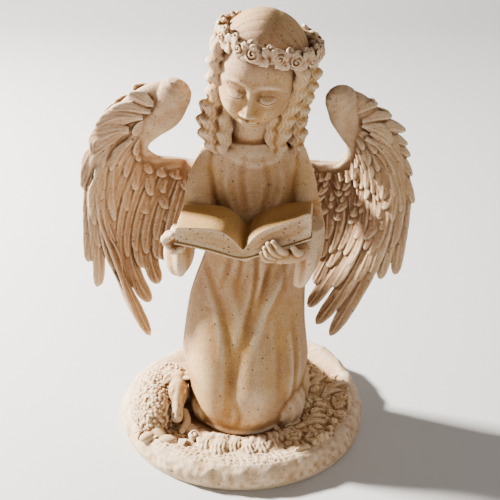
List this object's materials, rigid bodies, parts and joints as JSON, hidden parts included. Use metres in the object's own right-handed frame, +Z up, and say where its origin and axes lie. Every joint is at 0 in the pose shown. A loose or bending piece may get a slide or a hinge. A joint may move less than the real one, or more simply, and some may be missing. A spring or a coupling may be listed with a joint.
{
  "type": "kneeling angel statue",
  "caption": "Cast stone garden statue of a kneeling child angel with spread wings and a rose wreath, reading an open book on a round base with a resting lamb and flowers.",
  "frame": {"origin": "centre of the base's flat underside, on the surface it stands on", "axes": "+Z up, +X towards the viewer's right when facing the statue, +Y towards its back, so the statue faces -Y"},
  "size_m": [0.2292, 0.1857, 0.3113],
  "materials": {
    "cast_stone": "matte, weathered buff cast stone with dark specks"
  },
  "bodies": {
    "root": {"kneeling_angel_statue": "cast_stone"}
  },
  "joints": []
}
